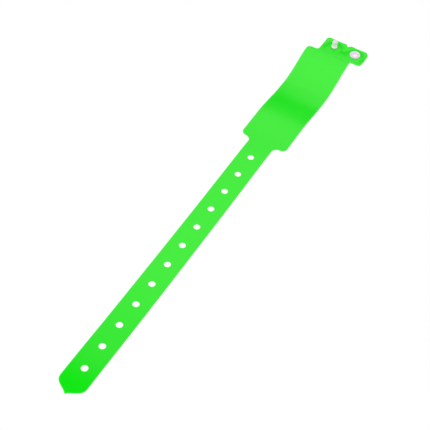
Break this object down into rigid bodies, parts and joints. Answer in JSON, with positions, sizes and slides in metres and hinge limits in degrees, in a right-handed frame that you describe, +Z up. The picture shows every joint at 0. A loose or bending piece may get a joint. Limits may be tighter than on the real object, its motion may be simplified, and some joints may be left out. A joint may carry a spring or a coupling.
{
  "type": "snap-closure vinyl wristband",
  "caption": "Wide-face vinyl identification wristband with a punched strap, a closure tab and a fold-over lobe that locks with a plastic snap.",
  "frame": {"origin": "bottom centre of the bounding box of the band lying open on a table", "axes": "+X along the band from the pointed end to the closure tab, +Y towards the side away from the fold-over lobe, +Z up, the side with the stud"},
  "size_m": [0.2508, 0.0306, 0.0107],
  "materials": {
    "vinyl": "neon green soft vinyl sheet, slightly translucent, fine matte grain with a soft sheen",
    "snap": "off-white moulded plastic, semi-gloss"
  },
  "bodies": {
    "face_4": {"face_panel_4": "vinyl"},
    "face_3": {"face_panel_3": "vinyl"},
    "face_2": {"face_panel_2": "vinyl"},
    "face_1": {"face_panel_1": "vinyl"},
    "tab": {"closure_tab": "vinyl", "snap_stud": "snap"},
    "lobe": {"socket_lobe": "vinyl", "snap_socket": "snap"},
    "face_5": {"face_panel_5": "vinyl"},
    "face_6": {"face_panel_6": "vinyl"},
    "strap_01": {"strap_link_01": "vinyl"},
    "strap_02": {"strap_link_02": "vinyl"},
    "strap_03": {"strap_link_03": "vinyl"},
    "strap_04": {"strap_link_04": "vinyl"},
    "strap_05": {"strap_link_05": "vinyl"},
    "strap_06": {"strap_link_06": "vinyl"},
    "strap_07": {"strap_link_07": "vinyl"},
    "strap_08": {"strap_link_08": "vinyl"},
    "strap_09": {"strap_link_09": "vinyl"},
    "strap_10": {"strap_link_10": "vinyl"},
    "strap_11": {"strap_link_11": "vinyl"},
    "strap_12": {"strap_link_12": "vinyl"}
  },
  "joints": [
    {"name": "wrap", "type": "hinge", "parent": "face_4", "child": "face_3", "pos_m": [0.07393, 0.00293, 0.00075], "axis": [0, 1, 0], "range_deg": [-4, 30.18], "stiffness_Nm_per_rad": 0.0002},
    {"name": "bend_tab", "type": "hinge", "parent": "face_1", "child": "tab", "pos_m": [0.1132, 0.00293, 0.0065], "axis": [0, 1, 0], "range_deg": [-3.71, 27.82], "stiffness_Nm_per_rad": 0.0002},
    {"name": "bend_face_1", "type": "hinge", "parent": "face_2", "child": "face_1", "pos_m": [0.10011, 0.00293, 0.00329], "axis": [0, 1, 0], "range_deg": [-3.86, 28.99], "stiffness_Nm_per_rad": 0.0002},
    {"name": "bend_face_2", "type": "hinge", "parent": "face_3", "child": "face_2", "pos_m": [0.08702, 0.00293, 0.0002], "axis": [0, 1, 0], "range_deg": [-3.96, 29.74], "stiffness_Nm_per_rad": 0.0002},
    {"name": "bend_face_4", "type": "hinge", "parent": "face_4", "child": "face_5", "pos_m": [0.06083, 0.00293, 0.00204], "axis": [0, -1, 0], "range_deg": [-4, 30.09], "stiffness_Nm_per_rad": 0.0002},
    {"name": "bend_face_5", "type": "hinge", "parent": "face_5", "child": "face_6", "pos_m": [0.04774, 0.00293, 0.00172], "axis": [0, -1, 0], "range_deg": [-3.89, 29.25], "stiffness_Nm_per_rad": 0.0002},
    {"name": "bend_face_6", "type": "hinge", "parent": "face_6", "child": "strap_01", "pos_m": [0.03465, 0.00293, 0.0017], "axis": [0, -1, 0], "range_deg": [-3.74, 28.07], "stiffness_Nm_per_rad": 0.0002},
    {"name": "bend_strap_01", "type": "hinge", "parent": "strap_01", "child": "strap_02", "pos_m": [0.02195, 0.00293, 0.00147], "axis": [0, -1, 0], "range_deg": [-3.58, 26.87], "stiffness_Nm_per_rad": 0.0001},
    {"name": "bend_strap_02", "type": "hinge", "parent": "strap_02", "child": "strap_03", "pos_m": [0.00925, 0.00293, 0.00112], "axis": [0, -1, 0], "range_deg": [-3.45, 25.89], "stiffness_Nm_per_rad": 0.0001},
    {"name": "bend_strap_03", "type": "hinge", "parent": "strap_03", "child": "strap_04", "pos_m": [-0.00345, 0.00293, 0.00079], "axis": [0, -1, 0], "range_deg": [-3.37, 25.33], "stiffness_Nm_per_rad": 0.0001},
    {"name": "bend_strap_04", "type": "hinge", "parent": "strap_04", "child": "strap_05", "pos_m": [-0.01615, 0.00293, 0.00055], "axis": [0, -1, 0], "range_deg": [-3.37, 25.27], "stiffness_Nm_per_rad": 0.0001},
    {"name": "strap_press", "type": "hinge", "parent": "strap_05", "child": "strap_06", "pos_m": [-0.02885, 0.00293, 0.0004], "axis": [0, -1, 0], "range_deg": [0, 25.71], "stiffness_Nm_per_rad": 0.0001},
    {"name": "bend_strap_06", "type": "hinge", "parent": "strap_06", "child": "strap_07", "pos_m": [-0.04155, 0.00293, 0.00028], "axis": [0, -1, 0], "range_deg": [-3.55, 26.63], "stiffness_Nm_per_rad": 0.0001},
    {"name": "bend_strap_07", "type": "hinge", "parent": "strap_07", "child": "strap_08", "pos_m": [-0.05425, 0.00293, 0.0002], "axis": [0, -1, 0], "range_deg": [-3.13, 23.52], "stiffness_Nm_per_rad": 0.0001},
    {"name": "bend_strap_08", "type": "hinge", "parent": "strap_08", "child": "strap_09", "pos_m": [-0.06695, 0.00293, 0.0002], "axis": [0, -1, 0], "range_deg": [-3.13, 23.52], "stiffness_Nm_per_rad": 0.0001},
    {"name": "bend_strap_09", "type": "hinge", "parent": "strap_09", "child": "strap_10", "pos_m": [-0.07965, 0.00293, 0.00024], "axis": [0, -1, 0], "range_deg": [-3.13, 23.52], "stiffness_Nm_per_rad": 0.0001},
    {"name": "bend_strap_10", "type": "hinge", "parent": "strap_10", "child": "strap_11", "pos_m": [-0.09235, 0.00293, 0.0004], "axis": [0, -1, 0], "range_deg": [-3.13, 23.52], "stiffness_Nm_per_rad": 0.0001},
    {"name": "bend_strap_11", "type": "hinge", "parent": "strap_11", "child": "strap_12", "pos_m": [-0.10505, 0.00293, 0.00066], "axis": [0, -1, 0], "range_deg": [-3.13, 23.52], "stiffness_Nm_per_rad": 0.0001},
    {"name": "lobe_fold", "type": "hinge", "parent": "tab", "child": "lobe", "pos_m": [0.1195, -0.00317, 0.00795], "axis": [-1, 0, 0], "range_deg": [0, 179.5], "stiffness_Nm_per_rad": 0.00002}
  ],
  "couplings": [
    {"joint": "bend_tab", "follows": "wrap", "ratio": 0.92117},
    {"joint": "bend_face_1", "follows": "wrap", "ratio": 0.95966},
    {"joint": "bend_face_2", "follows": "wrap", "ratio": 0.9846},
    {"joint": "bend_face_4", "follows": "wrap", "ratio": 0.99623},
    {"joint": "bend_face_5", "follows": "wrap", "ratio": 0.96831},
    {"joint": "bend_face_6", "follows": "wrap", "ratio": 0.92926},
    {"joint": "bend_strap_01", "follows": "wrap", "ratio": 0.88952},
    {"joint": "bend_strap_02", "follows": "wrap", "ratio": 0.85719},
    {"joint": "bend_strap_03", "follows": "wrap", "ratio": 0.83853},
    {"joint": "bend_strap_04", "follows": "wrap", "ratio": 0.83661},
    {"joint": "bend_strap_06", "follows": "wrap", "ratio": 0.88155},
    {"joint": "bend_strap_07", "follows": "wrap", "ratio": 0.77855},
    {"joint": "bend_strap_08", "follows": "wrap", "ratio": 0.77855},
    {"joint": "bend_strap_09", "follows": "wrap", "ratio": 0.77855},
    {"joint": "bend_strap_10", "follows": "wrap", "ratio": 0.77855},
    {"joint": "bend_strap_11", "follows": "wrap", "ratio": 0.77855}
  ]
}
